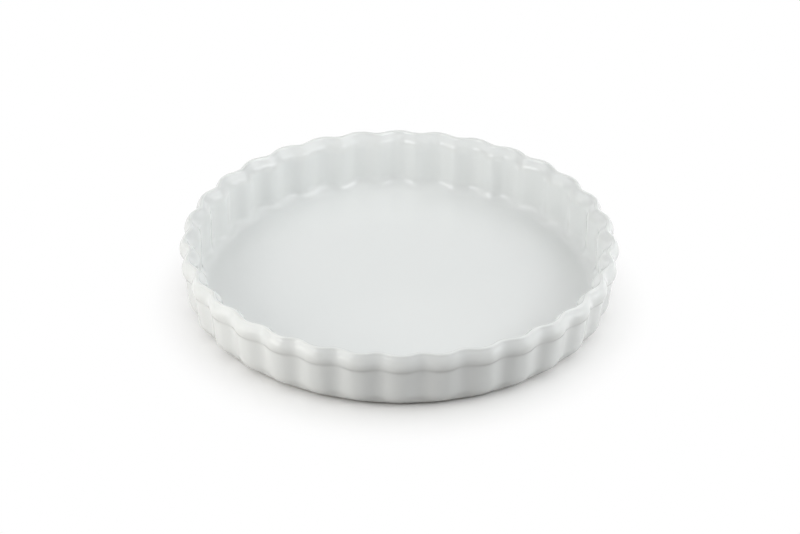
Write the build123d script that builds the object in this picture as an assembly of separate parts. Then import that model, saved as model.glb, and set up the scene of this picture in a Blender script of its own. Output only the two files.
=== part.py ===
from build123d import *
import math
import os

# A fluted quiche dish of glazed stoneware, lengths in millimetres.
# The origin is the centre of the resting plane, +Z is up, and a lobe of the rim faces -Y.

# Overall sizes
rim_diameter = 280.0        # over the lobes of the rim, at its widest
dish_height = 42.0          # from the resting plane to the crest of the lip
floor_thickness = 3.9       # from the ceiling of the underside's recess up to the floor
wall_thickness = 7.2        # from the outer to the inner face, halfway up the wall

# Flutes of the wall, measured from the top of a lobe to the bottom of the next valley
flute_count = 32
flute_depth = 3.1           # around the rim
wall_flute_depth = 2.6      # on the wall
fade_start_angle = 25       # degrees round the lower edge where the flutes begin to fade
run_out_angle = 62          # degrees round the lower edge where they have run out

# Lip: a narrow crest between the collar outside and the shoulder inside
lip_crown = 1.4             # width left flat on the crest
lip_outer_reach = 0.9       # from the crown out to the top of the collar
lip_outer_drop = 1.2
lip_inner_reach = 0.8       # from the crown in to the top of the shoulder
lip_inner_drop = 0.8

# Rolled collar around the rim, and the soft step under it
collar_rounding = 10.0      # radius of the collar's round face
collar_top_angle = 36       # degrees of that face above its widest point
collar_foot_angle = 20      # degrees of it below
step_height = 3.9           # height of the soft step under the collar
step_depth = 1.4            # how far the wall lies behind the collar's lower edge

# Wall under the step, and the round edge that brings it in to the foot
wall_draft = 1.8            # how much the wall narrows from the step to the round edge
base_edge_radius = 13.0

# Inside: the leaning shoulder under the lip, its soft lower edge, the wall and the cove
shoulder_height = 4.8
shoulder_edge_height = 4.0
shoulder_edge_reach = 1.0   # from the foot of the shoulder in to the wall
inner_draft = 0.3           # how much the inner wall narrows on its way down
cove_radius = 8.0

# Underside: the foot ring that the dish stands on, and the recess inside it
foot_width = 6.0
recess_depth = 1.2
recess_slope = 1.0          # how much the recess narrows from its edge to its ceiling

# Glaze, where it lies as a level layer
floor_glaze_thickness = 0.5
underside_glaze_thickness = 0.4
underside_glaze_margin = 1.5  # bare clay between the recess's edge and the glaze in it

# Number of straight bands that make each rounding
collar_band_count = 2
base_edge_band_count = 4
cove_band_count = 3

# How far cutting shapes run past what they cut
overrun = 2.0

# The way down the collar's face from its top to its widest point and to its lower edge
collar_top_turn = math.radians(collar_top_angle)
collar_foot_turn = math.radians(collar_foot_angle)

# Mean radii of the outside, halfway between lobe and valley, from the rim down
collar_radius = rim_diameter / 2 - flute_depth / 2
collar_top_radius = collar_radius - collar_rounding * (1 - math.cos(collar_top_turn))
collar_foot_radius = collar_radius - collar_rounding * (1 - math.cos(collar_foot_turn))
wall_top_radius = collar_foot_radius - step_depth
wall_foot_radius = wall_top_radius - wall_draft
foot_radius = wall_foot_radius - base_edge_radius
recess_radius = foot_radius - foot_width

# Mean radii of the inside
crown_outer_radius = collar_top_radius - lip_outer_reach
crown_inner_radius = crown_outer_radius - lip_crown
shoulder_top_radius = crown_inner_radius - lip_inner_reach
wall_middle_radius = (wall_top_radius + wall_foot_radius) / 2
inner_wall_top_radius = wall_middle_radius - wall_thickness + inner_draft / 2
inner_wall_foot_radius = inner_wall_top_radius - inner_draft
shoulder_foot_radius = inner_wall_top_radius + shoulder_edge_reach
floor_radius = inner_wall_foot_radius - cove_radius

# Heights above the resting plane
floor_height = recess_depth + floor_thickness
collar_middle_height = dish_height - lip_outer_drop - collar_rounding * math.sin(collar_top_turn)
collar_foot_height = collar_middle_height - collar_rounding * math.sin(collar_foot_turn)
wall_top_height = collar_foot_height - step_height
shoulder_top_height = dish_height - lip_inner_drop
shoulder_foot_height = shoulder_top_height - shoulder_height
inner_wall_top_height = shoulder_foot_height - shoulder_edge_height


def flute_outline(mean_radius, depth, height):
    """Closed outline of tangent arcs, a convex one for each lobe and a concave one for each valley.

    The arcs meet at the mean radius, a quarter of a flute to each side of a lobe's top.
    """
    quarter_turn = math.pi / (2 * flute_count)
    # The four points of a flute: its rising flank, lobe top, falling flank and valley bottom.
    offsets = (0, depth / 2, 0, -depth / 2)

    def point(step):
        angle = (step - 1) * quarter_turn - math.pi / 2
        radius = mean_radius + offsets[step % 4]
        return Vector(radius * math.cos(angle), radius * math.sin(angle), height)

    arcs = [
        Edge.make_three_point_arc(point(step), point(step + 1), point(step + 2))
        for step in range(0, 4 * flute_count, 2)
    ]
    return Wire(arcs)


def stack(levels):
    """Solid through flute outlines, each given as mean radius, flute depth and height."""
    return Solid.make_loft([flute_outline(*level) for level in levels], ruled=True)


def quarter_angles(count):
    """Angles from 0 to 90 degrees that cut a quarter round into a count of equal bands."""
    return [math.radians(90) * step / count for step in range(count + 1)]


def outer_levels():
    """Outside of the dish from the foot up. The flutes run out over the round lower edge."""
    levels = []
    fade = math.radians(run_out_angle - fade_start_angle)
    for a in reversed(quarter_angles(base_edge_band_count)):
        inward = base_edge_radius * (1 - math.cos(a))
        rise = base_edge_radius * (1 - math.sin(a))
        share = min(max((math.radians(run_out_angle) - a) / fade, 0), 1)
        levels.append((wall_foot_radius - inward, wall_flute_depth * share, rise))
    levels.append((wall_top_radius, wall_flute_depth, wall_top_height))
    levels.append((collar_foot_radius, flute_depth, collar_foot_height))
    for step in range(collar_band_count + 1):
        a = collar_top_turn * step / collar_band_count
        radius = collar_radius - collar_rounding * (1 - math.cos(a))
        levels.append((radius, flute_depth, collar_middle_height + collar_rounding * math.sin(a)))
    levels.append((crown_outer_radius, flute_depth, dish_height))
    return levels


def inner_levels():
    """Inside of the dish from the floor up. The flutes fade out over the cove."""
    levels = []
    for a in reversed(quarter_angles(cove_band_count)):
        inward = cove_radius * (1 - math.cos(a))
        rise = cove_radius * (1 - math.sin(a))
        depth = wall_flute_depth * math.cos(a)
        levels.append((inner_wall_foot_radius - inward, depth, floor_height + rise))
    levels.append((inner_wall_top_radius, wall_flute_depth, inner_wall_top_height))
    levels.append((shoulder_foot_radius, flute_depth, shoulder_foot_height))
    levels.append((shoulder_top_radius, flute_depth, shoulder_top_height))
    levels.append((crown_inner_radius, flute_depth, dish_height))
    levels.append((crown_inner_radius, flute_depth, dish_height + overrun))
    return levels


def turned_plug(lower_radius, upper_radius, bottom, top):
    """Round plug with a straight or sloping side, turned about the dish's axis."""
    profile = Plane.XZ * Polyline(
        (0, bottom), (lower_radius, bottom), (upper_radius, top), (0, top), close=True
    )
    return revolve(make_face(profile), axis=Axis.Z)


def build_floor_glaze():
    """Level pool of glaze on the floor, from edge to edge of the cove."""
    bottom = floor_height - floor_glaze_thickness
    return turned_plug(floor_radius, floor_radius, bottom, floor_height)


def build_underside_glaze():
    """Glaze on the ceiling of the recess, wiped back from the foot ring before firing."""
    radius = recess_radius - recess_slope - underside_glaze_margin
    bottom = recess_depth - underside_glaze_thickness
    return turned_plug(radius, radius, bottom, recess_depth)


def build_stoneware_body():
    """Pressed and fired body: fluted wall, rolled collar, lip, floor and foot ring."""
    body = stack(outer_levels()) - stack(inner_levels())
    body = body - build_floor_glaze()
    # The recess keeps its slope where it runs out below the resting plane.
    flare = recess_slope * overrun / recess_depth
    recess = turned_plug(recess_radius + flare, recess_radius - recess_slope, -overrun, recess_depth)
    return body - recess


nodes = {
    "stoneware_body": build_stoneware_body(),
    "floor_glaze": build_floor_glaze(),
    "underside_glaze": build_underside_glaze(),
}

os.makedirs("parts", exist_ok=True)
for name, shape in nodes.items():
    export_step(shape, f"parts/{name}.step")
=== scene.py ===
import math

import bpy
import numpy as np
from mathutils import Matrix, Vector


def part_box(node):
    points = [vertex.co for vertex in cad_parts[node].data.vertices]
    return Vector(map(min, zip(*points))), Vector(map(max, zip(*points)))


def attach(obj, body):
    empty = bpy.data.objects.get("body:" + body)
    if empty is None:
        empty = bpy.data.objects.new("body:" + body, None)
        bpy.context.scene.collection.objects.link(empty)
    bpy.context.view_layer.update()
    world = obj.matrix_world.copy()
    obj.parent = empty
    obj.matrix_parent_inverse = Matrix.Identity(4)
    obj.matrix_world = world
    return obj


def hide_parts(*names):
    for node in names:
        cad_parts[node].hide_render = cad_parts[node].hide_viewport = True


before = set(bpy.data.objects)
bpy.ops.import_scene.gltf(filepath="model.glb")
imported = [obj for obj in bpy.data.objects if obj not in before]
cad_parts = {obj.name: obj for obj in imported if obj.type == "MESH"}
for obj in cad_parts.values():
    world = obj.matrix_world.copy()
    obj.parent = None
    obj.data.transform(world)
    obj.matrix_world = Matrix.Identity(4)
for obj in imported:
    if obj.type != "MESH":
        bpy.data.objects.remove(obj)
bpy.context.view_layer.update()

# A fluted quiche dish of white glazed stoneware, in metres, standing on z = 0.
# Three things are modelled: the fired clay body, the glaze coat over it, and the patch of glaze
# on the underside. The main sizes come from the solids in the frame.

MM = 0.001

# Sizes read from the frame
body_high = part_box("stoneware_body")[1]
floor_glaze_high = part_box("floor_glaze")[1]
underside_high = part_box("underside_glaze")[1]
rim_radius = body_high.x            # over the lobes of the rim
dish_height = body_high.z
floor_height = floor_glaze_high.z
underside_radius = underside_high.x
recess_height = underside_high.z

# Flutes
FLUTES = 32
FLUTE_DEPTH = 3.1 * MM              # at the rim
WALL_FLUTE_DEPTH = 2.6 * MM         # on the wall under the collar
LOBE_WIDENING = 0.075               # share of a second wave that makes lobes wider than valleys
FLANK_STEEPENING = 0.015            # share of a third wave that steepens the flanks

# Rim, from the crest outward and down: bead, rolled collar, soft step
# Angles are the directions in which the surface faces, in degrees: 0 outward, 90 up, 180 inward.
BEAD_ROUNDING = 1.5 * MM
BEAD_OUTER_ANGLE = 8
BEAD_INNER_ANGLE = 160
BEAD_HOLLOW = 0.9 * MM              # radius of the hollow on each side of the bead
COLLAR_ROUNDING = 10.0 * MM
COLLAR_TOP_ANGLE = 36
COLLAR_FOOT_ANGLE = -16
STEP_EDGE_ROUNDING = 5.0 * MM
STEP_ANGLE = -36                    # the way the step faces where it is steepest
STEP_HOLLOW = 5.0 * MM              # radius of the hollow that leads the step into the wall

COLLAR_HEIGHT = 10.0 * MM           # from the crest down to where the flutes get shallower
STEP_HEIGHT = 5.0 * MM              # over which they do

# Wall under the step
WALL_ANGLE = -6.8
BASE_EDGE_RADIUS = 13.0 * MM
WALL_DRAFT = 1.8 * MM
FADE_START_ANGLE = 25               # degrees round the lower edge where the flutes begin to fade
RUN_OUT_ANGLE = 62                  # degrees round the lower edge where they have run out

# Inside, from the crest in and down: shoulder, its lower edge, wall, cove
SHOULDER_TOP_ANGLE = 128
SHOULDER_FOOT_ANGLE = 132
SHOULDER_RADIUS = 40.0 * MM
SHOULDER_EDGE_ROUNDING = 8.0 * MM
INNER_WALL_ANGLE = 178.5
COVE_RADIUS = 8.0 * MM
INNER_DRAFT = 0.3 * MM

# Foot ring and the recess inside it
FOOT_WIDTH = 6.0 * MM
FOOT_ROUNDING = 0.9 * MM
RECESS_SLOPE = 1.0 * MM

# Glaze
GLAZE_THICKNESS = 0.5 * MM
GLAZE_LINE = 1.1 * MM               # height above the table where the glaze was wiped away
GLAZE_TAPER = 2.5 * MM              # length over which its lower edge thins out
UNDERSIDE_THICKNESS = 0.4 * MM
SOFTENING = 0.3 * MM                # how far the glaze rounds the corners of the clay
LOBE_CONVEXITY = 0.08 / MM          # how tightly the top of a lobe turns
POOLED_BELOW = -0.15 / MM           # in hollows tighter than this the glaze lies thickest
THIN_ABOVE = 0.45 / MM              # over edges tighter than this it lies thinnest

# Mesh fineness
STEPS_PER_FLUTE = 28
STEP_LENGTH = 3.0 * MM              # longest step along a straight stretch of the profile
STEP_TURN = math.radians(6)         # largest turn between two steps round a corner
FLOOR_STEP = 14.0 * MM              # between two rings of a flat face
ARC_POINTS = 24
SOFTENING_STEPS = 6                 # steps of the line in the width over which a corner is softened
LEAST_RADIUS = 0.5 * MM             # no ring lies closer to the axis


def wave(turn):
    """Height of a flute from -1 in the valley to 1 on the lobe, for angles turn of its period."""
    raw = np.cos(turn) - LOBE_WIDENING * np.cos(2 * turn) - FLANK_STEEPENING * np.cos(3 * turn)
    top = 1 - LOBE_WIDENING - FLANK_STEEPENING
    bottom = -1 - LOBE_WIDENING + FLANK_STEEPENING
    return 2 * (raw - bottom) / (top - bottom) - 1


def smooth(share):
    """Eases a share from 0 to 1 in and out."""
    share = np.clip(share, 0, 1)
    return share * share * (3 - 2 * share)


def arc(centre, radius, start, end):
    """Points of an arc in the profile, from one angle to another in degrees."""
    angles = np.radians(np.linspace(start, end, ARC_POINTS))
    return [(centre[0] + radius * math.cos(a), centre[1] + radius * math.sin(a)) for a in angles]


def resampled(points, spacing):
    """The same line with points at an even spacing."""
    points = np.array(points)
    steps = np.r_[0, np.cumsum(np.hypot(*np.diff(points, axis=0).T))]
    at = np.linspace(0, steps[-1], int(steps[-1] / spacing) + 2)
    return np.stack([np.interp(at, steps, points[:, k]) for k in range(points.shape[1])], 1)


def softened(points, width):
    """The line with its corners rounded over about that width, as glaze flows over clay.

    Each point becomes a weighted mean of those within three widths of it. The ends stay.
    """
    spacing = width / SOFTENING_STEPS
    line = resampled(points, spacing)
    reach = 3 * SOFTENING_STEPS
    weights = np.exp(-0.5 * (np.arange(-reach, reach + 1) * spacing / width) ** 2)
    weights /= weights.sum()
    before = 2 * line[0] - line[reach:0:-1]
    after = 2 * line[-1] - line[-2:-reach - 2:-1]
    padded = np.vstack([before, line, after])
    return np.stack([np.convolve(padded[:, k], weights, "valid") for k in range(2)], 1)


def thinned(points):
    """Fewer points: close together round corners and far apart on straight stretches."""
    heading = np.unwrap(np.arctan2(*np.gradient(points, axis=0).T[::-1]))
    length = np.hypot(*np.diff(points, axis=0).T)
    cost = length / STEP_LENGTH + np.abs(np.diff(heading)) / STEP_TURN
    at = np.r_[0, np.cumsum(cost)]
    count = int(at[-1]) + 2
    picks = np.interp(np.linspace(0, at[-1], count), at, np.arange(len(points)))
    return np.stack([np.interp(picks, np.arange(len(points)), points[:, k]) for k in range(2)], 1)


def normals_of(points):
    """Unit normals to the right of a profile line, away from the clay."""
    along = np.gradient(points, axis=0)
    along /= np.hypot(*along.T)[:, None]
    return np.stack([along[:, 1], -along[:, 0]], 1)


# The profile of the glazed surface

def bend(line, radius, start, end):
    """Goes on from the end of a line by an arc that faces from one direction to another, in degrees.

    A negative radius makes a hollow.
    """
    a = math.radians(start)
    centre = (line[-1][0] - radius * math.cos(a), line[-1][1] - radius * math.sin(a))
    return line + arc(centre, radius, start, end)[1:]


def rim_outside(crest):
    """The outside from the crest down to the wall: bead, rolled collar and soft step."""
    line = bend([(crest, dish_height)], BEAD_ROUNDING, 90, BEAD_OUTER_ANGLE)
    line = bend(line, -BEAD_HOLLOW, BEAD_OUTER_ANGLE, COLLAR_TOP_ANGLE)
    line = bend(line, COLLAR_ROUNDING, COLLAR_TOP_ANGLE, COLLAR_FOOT_ANGLE)
    line = bend(line, STEP_EDGE_ROUNDING, COLLAR_FOOT_ANGLE, STEP_ANGLE)
    return bend(line, -STEP_HOLLOW, STEP_ANGLE, WALL_ANGLE)


# The crest lies so far in that the collar just reaches the rim's radius.
crest_radius = rim_radius - FLUTE_DEPTH / 2 - max(r for r, z in rim_outside(0.0))
wall_top_radius = rim_outside(crest_radius)[-1][0]
foot_radius = wall_top_radius - WALL_DRAFT - BASE_EDGE_RADIUS
recess_radius = foot_radius - FOOT_WIDTH


def rim_inside():
    """The inside from the crest down to the wall: bead, shoulder and its lower edge."""
    line = bend([(crest_radius, dish_height)], BEAD_ROUNDING, 90, BEAD_INNER_ANGLE)
    line = bend(line, -BEAD_HOLLOW, BEAD_INNER_ANGLE, SHOULDER_TOP_ANGLE)
    line = bend(line, SHOULDER_RADIUS, SHOULDER_TOP_ANGLE, SHOULDER_FOOT_ANGLE)
    return bend(line, SHOULDER_EDGE_ROUNDING, SHOULDER_FOOT_ANGLE, INNER_WALL_ANGLE)


floor_radius = rim_inside()[-1][0] - INNER_DRAFT - COVE_RADIUS


def outside_line():
    """Mean profile of the outside, from the edge of the foot up to the crest of the lip."""
    line = arc((foot_radius, BASE_EDGE_RADIUS), BASE_EDGE_RADIUS, -90, WALL_ANGLE)
    return line + rim_outside(crest_radius)[::-1]


def inside_line():
    """Mean profile of the inside, from the crest of the lip down to the edge of the floor."""
    cove = arc((floor_radius, floor_height + COVE_RADIUS), COVE_RADIUS, INNER_WALL_ANGLE - 180, -90)
    return rim_inside() + cove


def glazed_profile():
    """Radius, height and flute share along the glazed surface, from the foot over the lip to the axis.

    The flute share is 1 where the flutes have the rim's full depth and 0 where there are none.
    """
    line = softened(outside_line() + inside_line()[1:], SOFTENING)
    line[:, 1] = np.clip(line[:, 1], 0, dish_height)
    line = thinned(line)
    crest = int(np.argmax(line[:, 1]))
    # Under the collar the flutes are shallower, and they run out over the round lower edge.
    wall_share = WALL_FLUTE_DEPTH / FLUTE_DEPTH
    below_collar = smooth((dish_height - COLLAR_HEIGHT - line[:, 1]) / STEP_HEIGHT)
    share = 1 - (1 - wall_share) * below_collar
    low = np.clip(1 - line[:crest, 1] / BASE_EDGE_RADIUS, 0, 1)
    round_edge = np.degrees(np.arcsin(low))
    share[:crest] *= smooth((RUN_OUT_ANGLE - round_edge) / (RUN_OUT_ANGLE - FADE_START_ANGLE))
    share[crest:] *= smooth((line[crest:, 0] - floor_radius) / COVE_RADIUS)
    rings = np.arange(floor_radius - FLOOR_STEP, FLOOR_STEP / 2, -FLOOR_STEP)
    floor = np.stack([rings, np.full(len(rings), floor_height), np.zeros(len(rings))], 1)
    return np.vstack([np.column_stack([line, share]), floor])


def glaze_depths(profile):
    """Thickness of the glaze along its profile: full above the wiped foot, and none below it."""
    height = profile[:, 1]
    depth = GLAZE_THICKNESS * smooth((height - GLAZE_LINE) / GLAZE_TAPER)
    crest = int(np.argmax(height))
    depth[crest:] = GLAZE_THICKNESS
    return depth


# Meshes

def convexity(profile):
    """How tightly the surface turns along its profile, in radians per metre.

    It is positive over edges and negative in hollows.
    """
    along = np.gradient(profile[:, :2], axis=0)
    heading = np.unwrap(np.arctan2(along[:, 1], along[:, 0]))
    return np.gradient(heading) / np.hypot(*along.T)


def thin_share(turning):
    """How thin the glaze lies where the surface turns that tightly: 0 in a hollow, 1 over an edge."""
    return smooth((turning - POOLED_BELOW) / (THIN_ABOVE - POOLED_BELOW))


def swept(name, profile):
    """A mesh swept round the axis from rows of radius, height and flute share.

    Both ends of the profile lie near the axis and are closed there with one point each. Each point
    keeps how thin the glaze lies there, as melted glaze draws off edges and gathers in hollows.
    """
    around = FLUTES * STEPS_PER_FLUTE
    turn = 2 * math.pi * np.arange(around) / around
    flute = wave(turn * FLUTES)
    # A lobe faces the camera's side, -Y.
    east, north = np.sin(turn), -np.cos(turn)
    radius = profile[:, 0][:, None] + FLUTE_DEPTH / 2 * profile[:, 2][:, None] * flute
    height = np.repeat(profile[:, 1][:, None], around, 1)
    points = np.stack([radius * east, radius * north, height], 2).reshape(-1, 3)
    rows = len(profile)
    facing = np.sign(normals_of(profile[:, :2])[:, 0])
    bulge = convexity(profile)[:, None] + LOBE_CONVEXITY * (facing * profile[:, 2])[:, None] * flute
    thinness = thin_share(bulge).reshape(-1)
    ring = np.arange(around)
    beside = (ring + 1) % around
    faces = []
    for row in range(rows - 1):
        here, there = row * around, (row + 1) * around
        faces += np.stack([here + ring, here + beside, there + beside, there + ring], 1).tolist()
    for row in (0, rows - 1):
        points = np.vstack([points, [0, 0, profile[row, 1]]])
        thinness = np.append(thinness, thin_share(0.0))
        pole = len(points) - 1
        base = row * around
        rim = [base + beside, base + ring] if row == 0 else [base + ring, base + beside]
        faces += np.column_stack([*rim, np.full(around, pole)]).tolist()
    mesh = bpy.data.meshes.new(name)
    mesh.from_pydata(points.tolist(), [], faces)
    mesh.attributes.new("thinness", "FLOAT", "POINT").data.foreach_set("value", thinness)
    mesh.validate()
    mesh.shade_smooth()
    piece = bpy.data.objects.new(name, mesh)
    bpy.context.scene.collection.objects.link(piece)
    return piece


def flat_rings(radius):
    """Radii of the rings that fill a flat disc between its axis and its edge."""
    return np.arange(FLOOR_STEP, radius - FLOOR_STEP / 2, FLOOR_STEP)


def offset_profile(profile, depth):
    """The profile moved into the clay by a depth for each point."""
    normal = normals_of(profile[:, :2])
    moved = profile.copy()
    moved[:, :2] -= normal * depth[:, None]
    moved[:, 0] = np.maximum(moved[:, 0], LEAST_RADIUS)
    return moved


surface = glazed_profile()
depths = glaze_depths(surface)
clay_side = offset_profile(surface, depths)
glaze_start = int(np.argmax(depths > 0)) - 1


def build_glaze_coat():
    """The glaze as a closed skin: its glassy side, then back along the side that lies on the clay."""
    glassy = surface[glaze_start:]
    hidden = clay_side[glaze_start + 1:][::-1]
    # Both sides reach the axis, where each is closed with one point.
    return swept("white_glaze_coat", np.vstack([hidden, glassy]))


def build_clay_body():
    """The clay body: the underside with its foot ring, then up under the glaze and in to the axis."""
    # The recess's wall leans out to a sponged edge, and the ring's flat face starts past it.
    low_edge = [
        (recess_radius - RECESS_SLOPE, recess_height),
        (recess_radius - RECESS_SLOPE / 4, FOOT_ROUNDING),
        (recess_radius + FOOT_ROUNDING / 2, 0.0),
        (foot_radius, 0.0),
    ]
    ring = thinned(softened(low_edge, FOOT_ROUNDING / 3))
    ring[:, 1] = np.clip(ring[:, 1], 0, None)
    rings = flat_rings(recess_radius)
    ceiling = np.stack([rings, np.full(len(rings), recess_height)], 1)
    under = np.vstack([ceiling, ring])
    under = np.column_stack([under, np.zeros(len(under))])
    return swept("stoneware_clay_body", np.vstack([under, clay_side[1:]]))


def build_underside_glaze():
    """The patch of glaze in the recess, with a rounded edge."""
    low = recess_height - UNDERSIDE_THICKNESS
    edge = UNDERSIDE_THICKNESS / 2
    bead = arc((underside_radius - edge, recess_height - edge), edge, -90, 90)
    rings = flat_rings(underside_radius)
    lower = [(r, low) for r in rings]
    upper = [(r, recess_height) for r in rings[::-1]]
    rows = np.array(lower + bead + upper)
    return swept("underside_glaze_patch", np.column_stack([rows, np.zeros(len(rows))]))


# Materials

def linear(code):
    """An sRGB hex colour as the linear colour that a shader takes."""
    parts = [int(code[k:k + 2], 16) / 255 for k in (1, 3, 5)]
    return tuple(p / 12.92 if p <= 0.04045 else ((p + 0.055) / 1.055) ** 2.4 for p in parts) + (1.0,)


def add(tree, kind, settings=None, **links):
    """Adds a node, gives it its settings, and links or sets its inputs.

    An input goes by its name, with _ for a space, or by its number as _0, _1 or _2.
    """
    node = tree.nodes.new("ShaderNode" + kind)
    for name, value in (settings or {}).items():
        setattr(node, name, value)
    for name, value in links.items():
        number = name[1:]
        socket = node.inputs[int(number) if number.isdigit() else name.replace("_", " ")]
        if isinstance(value, bpy.types.NodeSocket):
            tree.links.new(value, socket)
        else:
            socket.default_value = value
    return node


def new_material(name):
    """An empty node material and its tree."""
    material = bpy.data.materials.new(name)
    material.use_nodes = True
    material.node_tree.nodes.clear()
    return material, material.node_tree


def tint_between(tree, factor, first, second):
    """Colour that goes from the first to the second as the factor goes from 0 to 1.

    Each is a hex code, the values that a shader takes, or another node's colour.
    """
    first, second = (linear(c) if isinstance(c, str) else c for c in (first, second))
    # Inputs 6 and 7 and output 2 are the ones that carry colour.
    return add(tree, "Mix", {"data_type": "RGBA"}, Factor=factor, _6=first, _7=second).outputs[2]


def spots(tree, place, spacing, radius):
    """Factor that is 1 in small round spots of that radius, one in each cell of that spacing."""
    distance = add(tree, "TexVoronoi", Vector=place, Scale=1 / spacing).outputs["Distance"]
    size = radius / spacing
    ramp = add(
        tree, "MapRange", {"interpolation_type": "SMOOTHSTEP"},
        Value=distance, From_Min=size / 2, From_Max=size, To_Min=1.0, To_Max=0.0,
    )
    return ramp.outputs["Result"]


def white_gloss_glaze():
    """White opaque stoneware glaze, dipped and fired glassy at about 1230 degrees.

    It gives the eye a cool, even white with clear reflections that waver a little, since the melt
    levels without losing all the slow unevenness of the dip. Over edges it lies thin and lets a
    little of the buff clay through. A few pinholes are left by gas from the clay.
    """
    material, tree = new_material("white_opaque_gloss_glaze")
    place = add(tree, "TexCoord").outputs["Object"]
    # The dip varies in thickness over some 70 mm, which shifts the white slightly.
    drift = add(tree, "TexNoise", Vector=place, Scale=1 / (70 * MM), Detail=2.0).outputs["Fac"]
    level = tint_between(tree, drift, "#F2F4F3", "#F5F6F5")
    # Where the glaze is thin, up to a quarter of a warmer tint.
    thinness = add(tree, "Attribute", {"attribute_name": "thinness"}).outputs["Fac"]
    share = add(tree, "MapRange", Value=thinness, From_Min=0.3, From_Max=1.0, To_Min=0.0, To_Max=0.25)
    white = tint_between(tree, share.outputs["Result"], level, "#F2F2EE")
    # Pinholes 0.3 mm across, one in about 15 mm. They are drawn at their real size and show only
    # close up, because from the photograph's distance the glaze looks clean.
    pinholes = spots(tree, place, 15 * MM, 0.15 * MM)
    tint = tint_between(tree, pinholes, white, "#CFC8BA")
    # Slow waves of about 18 mm left in the levelled melt, a few hundredths of a millimetre high.
    waves = add(tree, "TexNoise", Vector=place, Scale=1 / (18 * MM), Detail=1.0).outputs["Fac"]
    slow = add(tree, "Bump", Distance=0.02 * MM, Height=waves).outputs["Normal"]
    pitted = add(tree, "Bump", {"invert": True}, Distance=0.1 * MM, Height=pinholes, Normal=slow)
    # Fired glass is nearly perfectly smooth, and a touch duller where the dip was thin.
    gloss = add(tree, "MapRange", Value=drift, From_Min=0.3, From_Max=0.7, To_Min=0.01, To_Max=0.03)
    shader = add(
        tree, "BsdfPrincipled", Base_Color=tint, Roughness=gloss.outputs["Result"], IOR=1.5,
        Normal=pitted.outputs["Normal"],
    )
    add(tree, "OutputMaterial", Surface=shader.outputs["BSDF"])
    return material


def sponged_underside_glaze():
    """The same white glaze on the underside, where it was sponged thin on a turning wheel.

    It gives the eye a slightly greyer and less even white, with faint rings left by the sponge.
    """
    material, tree = new_material("white_gloss_glaze_sponged_thin")
    place = add(tree, "TexCoord").outputs["Object"]
    patches = add(tree, "TexNoise", Vector=place, Scale=1 / (25 * MM), Detail=3.0).outputs["Fac"]
    tint = tint_between(tree, patches, "#DEDFDA", "#EAECE9")
    # Rings about 4 mm apart. At a scale of 1 the wave texture makes 20 of them in 2 pi metres.
    rings = add(
        tree, "TexWave", {"wave_type": "RINGS", "rings_direction": "Z"},
        Vector=place, Scale=math.tau / (20 * 4 * MM), Distortion=1.5, Detail=2.0,
    ).outputs["Fac"]
    relief = add(tree, "Bump", Distance=0.015 * MM, Height=rings).outputs["Normal"]
    gloss = add(tree, "MapRange", Value=patches, From_Min=0.3, From_Max=0.7, To_Min=0.06, To_Max=0.16)
    shader = add(
        tree, "BsdfPrincipled", Base_Color=tint, Roughness=gloss.outputs["Result"], IOR=1.5,
        Normal=relief,
    )
    add(tree, "OutputMaterial", Surface=shader.outputs["BSDF"])
    return material


def bare_stoneware():
    """Buff stoneware clay, pressed, sponged and left bare where it stood in the kiln.

    It gives the eye a dry, matt, warm grey with sandy grain and a few brown iron specks.
    """
    material, tree = new_material("bare_fired_stoneware")
    place = add(tree, "TexCoord").outputs["Object"]
    # Grains of sand and grog of about 0.8 mm, and clouds of about 12 mm from the kiln.
    grain = add(tree, "TexNoise", Vector=place, Scale=1 / (0.8 * MM), Detail=3.0).outputs["Fac"]
    clouds = add(tree, "TexNoise", Vector=place, Scale=1 / (12 * MM), Detail=2.0).outputs["Fac"]
    sandy = tint_between(tree, grain, "#B9B0A0", "#D6CFC2")
    toasted = tint_between(tree, clouds, sandy, "#C7B9A1")
    # Iron specks 0.7 mm across, one in about 6 mm.
    specks = spots(tree, place, 6 * MM, 0.35 * MM)
    tint = tint_between(tree, specks, toasted, "#80644A")
    relief = add(tree, "Bump", Distance=0.05 * MM, Height=grain).outputs["Normal"]
    shader = add(tree, "BsdfPrincipled", Base_Color=tint, Roughness=0.85, IOR=1.5, Normal=relief)
    add(tree, "OutputMaterial", Surface=shader.outputs["BSDF"])
    return material


glaze = white_gloss_glaze()
thin_glaze = sponged_underside_glaze()
clay = bare_stoneware()

glaze_coat = build_glaze_coat()
glaze_coat.data.materials.append(glaze)
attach(glaze_coat, "root")
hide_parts("floor_glaze")

clay_body = build_clay_body()
clay_body.data.materials.append(clay)
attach(clay_body, "root")
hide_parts("stoneware_body")

underside = build_underside_glaze()
underside.data.materials.append(thin_glaze)
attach(underside, "root")
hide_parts("underside_glaze")


# Floor, world and lights

PLAIN_WHITE = (1, 1, 1, 1)
TABLE_HALF = 6.0                    # from its middle to its edge
TABLE_WHITE = (1.02, 1.01, 1.0, 1)  # to the camera and in reflections
TABLE_BOUNCE = (0.36, 0.35, 0.34, 1)
SHADOW_CENTRE = (0, -12 * MM, 0)    # the shadow lies a little toward the camera
SHADOW_START = 112 * MM             # distances from there over which it fades
SHADOW_END = 163 * MM
ROOM_TINT = (0.98, 1.0, 1.0, 1)
ROOM_LIGHT = 0.20                   # strength of the room's light behind and beside the dish
ROOM_DARK_END = 0.07                # and on the camera's side
DARK_END_FULL = -0.9                # how far toward -Y a direction points where the room is darkest
DARK_END_OVER = -0.2                # and where it has its full light
CLOSE, NEAR, FAR = 0.4, 1.2, 2.5    # distances of the lamps from the dish
CREAM = (1.0, 0.99, 0.94)
NEUTRAL = (0.985, 0.995, 1.0)
COOL = (0.975, 1.0, 0.995)


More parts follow.
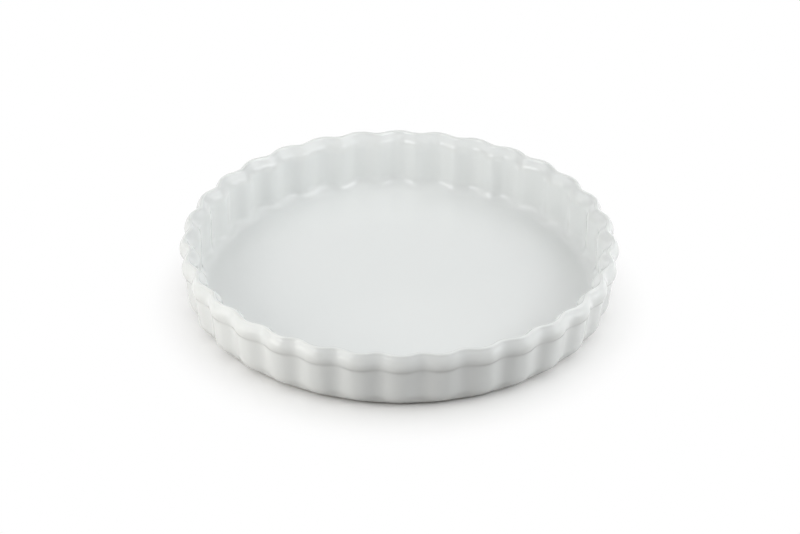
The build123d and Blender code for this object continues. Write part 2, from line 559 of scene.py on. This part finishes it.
def white_table():
    """Matt table that keeps the dish's shadow and is plain white beyond it.

    It is white to the camera and in reflections, and its bounce light is a warm grey.
    """
    material, tree = new_material("white_table")
    path = add(tree, "LightPath")
    seen = add(
        tree, "Math", {"operation": "MAXIMUM"},
        _0=path.outputs["Is Camera Ray"], _1=path.outputs["Is Glossy Ray"],
    ).outputs[0]
    tint = tint_between(tree, seen, TABLE_BOUNCE, TABLE_WHITE)
    matt = add(tree, "BsdfDiffuse", Color=tint).outputs["BSDF"]
    # The shadow fades into the plain white of the background, which gives no light to the dish.
    place = add(tree, "TexCoord").outputs["Object"]
    distance = add(
        tree, "VectorMath", {"operation": "DISTANCE"}, _0=place, _1=SHADOW_CENTRE
    ).outputs["Value"]
    away = add(
        tree, "MapRange", {"interpolation_type": "SMOOTHSTEP"},
        Value=distance, From_Min=SHADOW_START, From_Max=SHADOW_END, To_Min=0.0, To_Max=1.0,
    ).outputs["Result"]
    share = add(tree, "Math", {"operation": "MULTIPLY"}, _0=seen, _1=away).outputs[0]
    plain = add(tree, "Emission", Color=PLAIN_WHITE, Strength=1.0).outputs[0]
    mixed = add(tree, "MixShader", _0=share, _1=matt, _2=plain)
    add(tree, "OutputMaterial", Surface=mixed.outputs[0])
    return material


def build_table():
    """The table that the dish stands on, far wider than the view."""
    corners = [(TABLE_HALF * x, TABLE_HALF * y, 0) for x, y in ((-1, -1), (1, -1), (1, 1), (-1, 1))]
    mesh = bpy.data.meshes.new("table")
    mesh.from_pydata(corners, [], [(0, 1, 2, 3)])
    mesh.materials.append(white_table())
    table = bpy.data.objects.new("table", mesh)
    bpy.context.scene.collection.objects.link(table)


def studio_world():
    """A pale studio, darker on the camera's side. Where the camera sees past the table it is white."""
    world = bpy.data.worlds.new("studio")
    bpy.context.scene.world = world
    world.use_nodes = True
    tree = world.node_tree
    tree.nodes.clear()
    path = add(tree, "LightPath")
    seen = add(
        tree, "Math", {"operation": "MAXIMUM"},
        _0=path.outputs["Is Camera Ray"], _1=path.outputs["Is Transmission Ray"],
    ).outputs[0]
    # The camera stands on the side of -Y, in the dark end of the room.
    direction = add(tree, "TexCoord").outputs["Generated"]
    toward = add(tree, "SeparateXYZ", Vector=direction).outputs["Y"]
    strength = add(
        tree, "MapRange", {"interpolation_type": "SMOOTHSTEP"}, Value=toward,
        From_Min=DARK_END_FULL, From_Max=DARK_END_OVER, To_Min=ROOM_DARK_END, To_Max=ROOM_LIGHT,
    ).outputs["Result"]
    light = add(tree, "Background", Color=ROOM_TINT, Strength=strength).outputs[0]
    white = add(tree, "Background", Color=PLAIN_WHITE, Strength=1.0).outputs[0]
    mixed = add(tree, "MixShader", _0=seen, _1=light, _2=white)
    add(tree, "OutputWorld", Surface=mixed.outputs[0])


def outward(azimuth, elevation):
    """Direction away from the dish, by angles in degrees from the camera's side and the table."""
    a, e = math.radians(azimuth), math.radians(elevation)
    return Vector((math.sin(a) * math.cos(e), -math.cos(a) * math.cos(e), math.sin(e)))


def softbox(name, distance, azimuth, elevation, width, height, radiance, tint):
    """A rectangular lamp that faces the dish, placed by angles from the camera's side.

    Width and height are the angles that it fills as seen from the dish, in degrees.
    """
    lamp = bpy.data.lights.new(name, "AREA")
    lamp.shape = "RECTANGLE"
    lamp.size = 2 * distance * math.tan(math.radians(width / 2))
    lamp.size_y = 2 * distance * math.tan(math.radians(height / 2))
    lamp.energy = radiance * math.pi * lamp.size * lamp.size_y
    lamp.color = tint
    back = outward(azimuth, elevation)
    stand = bpy.data.objects.new(name, lamp)
    stand.location = back * distance
    stand.rotation_euler = back.to_track_quat("Z", "Y").to_euler()
    stand.visible_camera = False
    bpy.context.scene.collection.objects.link(stand)


build_table()
studio_world()
# Two windows, small and bright, that make the highlights
softbox("left_window", FAR, azimuth=-46, elevation=31, width=20, height=22, radiance=4.2, tint=NEUTRAL)
softbox("right_window", FAR, azimuth=50, elevation=38, width=30, height=12, radiance=4.2, tint=NEUTRAL)
# White cards that stand close to the dish and light its wall from low down
softbox("left_card", CLOSE, azimuth=-54, elevation=6, width=40, height=11, radiance=3.1, tint=CREAM)
softbox("right_card", CLOSE, azimuth=68, elevation=6, width=26, height=11, radiance=2.5, tint=COOL)
# Lamps at both sides, which model the flutes
softbox("left_lamp", NEAR, azimuth=-69, elevation=26, width=22, height=20, radiance=3.1, tint=CREAM)
softbox("right_lamp", NEAR, azimuth=80, elevation=26, width=40, height=20, radiance=2.4, tint=COOL)
# Large soft light from above, then from the backdrop
high_lamps = (
    ("high_left", -75, 0.9),
    ("high_right", 75, 0.75),
    ("high_back_left", -120, 0.5),
    ("high_back_right", 120, 0.9),
)
for name, azimuth, radiance in high_lamps:
    softbox(name, NEAR, azimuth, elevation=48, width=50, height=30, radiance=radiance, tint=NEUTRAL)
softbox("backdrop", NEAR, azimuth=180, elevation=30, width=60, height=40, radiance=0.5, tint=NEUTRAL)
softbox("low_backdrop", NEAR, azimuth=180, elevation=8, width=100, height=14, radiance=1.0, tint=NEUTRAL)

# Camera, fitted to the outline of the rim, the foot and the table line in the photograph

IMAGE_WIDTH = 800
IMAGE_HEIGHT = 534
FOCAL_PIXELS = 4915
CAMERA_ELEVATION = 31.6
CAMERA_DISTANCE = 3124 * MM         # to the middle of the rim
CAMERA_AZIMUTH = -0.644
CAMERA_ROLL = 0.676
SENSOR_WIDTH = 36                   # of a full-frame camera, in mm
NEAREST_SEEN, FARTHEST_SEEN = 0.1, 50
RIM_CENTRE_X = 399.1                # where the middle of the rim lies in the picture
RIM_CENTRE_Y = 238.7


def aim_camera():
    """A long lens from a distance, turned so that the rim's middle falls as in the photograph."""
    camera = bpy.data.cameras.new("camera")
    camera.sensor_width = SENSOR_WIDTH
    camera.lens = FOCAL_PIXELS / IMAGE_WIDTH * SENSOR_WIDTH
    camera.clip_start, camera.clip_end = NEAREST_SEEN, FARTHEST_SEEN
    stand = bpy.data.objects.new("camera", camera)
    bpy.context.scene.collection.objects.link(stand)
    bpy.context.scene.camera = stand
    back = outward(CAMERA_AZIMUTH, CAMERA_ELEVATION)
    middle = Vector((0, 0, dish_height))
    position = middle + back * CAMERA_DISTANCE
    facing = (-back).to_track_quat("-Z", "Y").to_matrix()
    # Turns that move the middle of the rim off the picture's centre, then the tilt of the camera.
    right = math.atan((RIM_CENTRE_X - IMAGE_WIDTH / 2) / FOCAL_PIXELS)
    up = math.atan((IMAGE_HEIGHT / 2 - RIM_CENTRE_Y) / FOCAL_PIXELS)
    roll = Matrix.Rotation(math.radians(CAMERA_ROLL), 3, "Z")
    turned = facing @ Matrix.Rotation(right, 3, "Y") @ Matrix.Rotation(-up, 3, "X") @ roll
    stand.matrix_world = Matrix.Translation(position) @ turned.to_4x4()


aim_camera()
bpy.context.scene.view_settings.view_transform = "Standard"
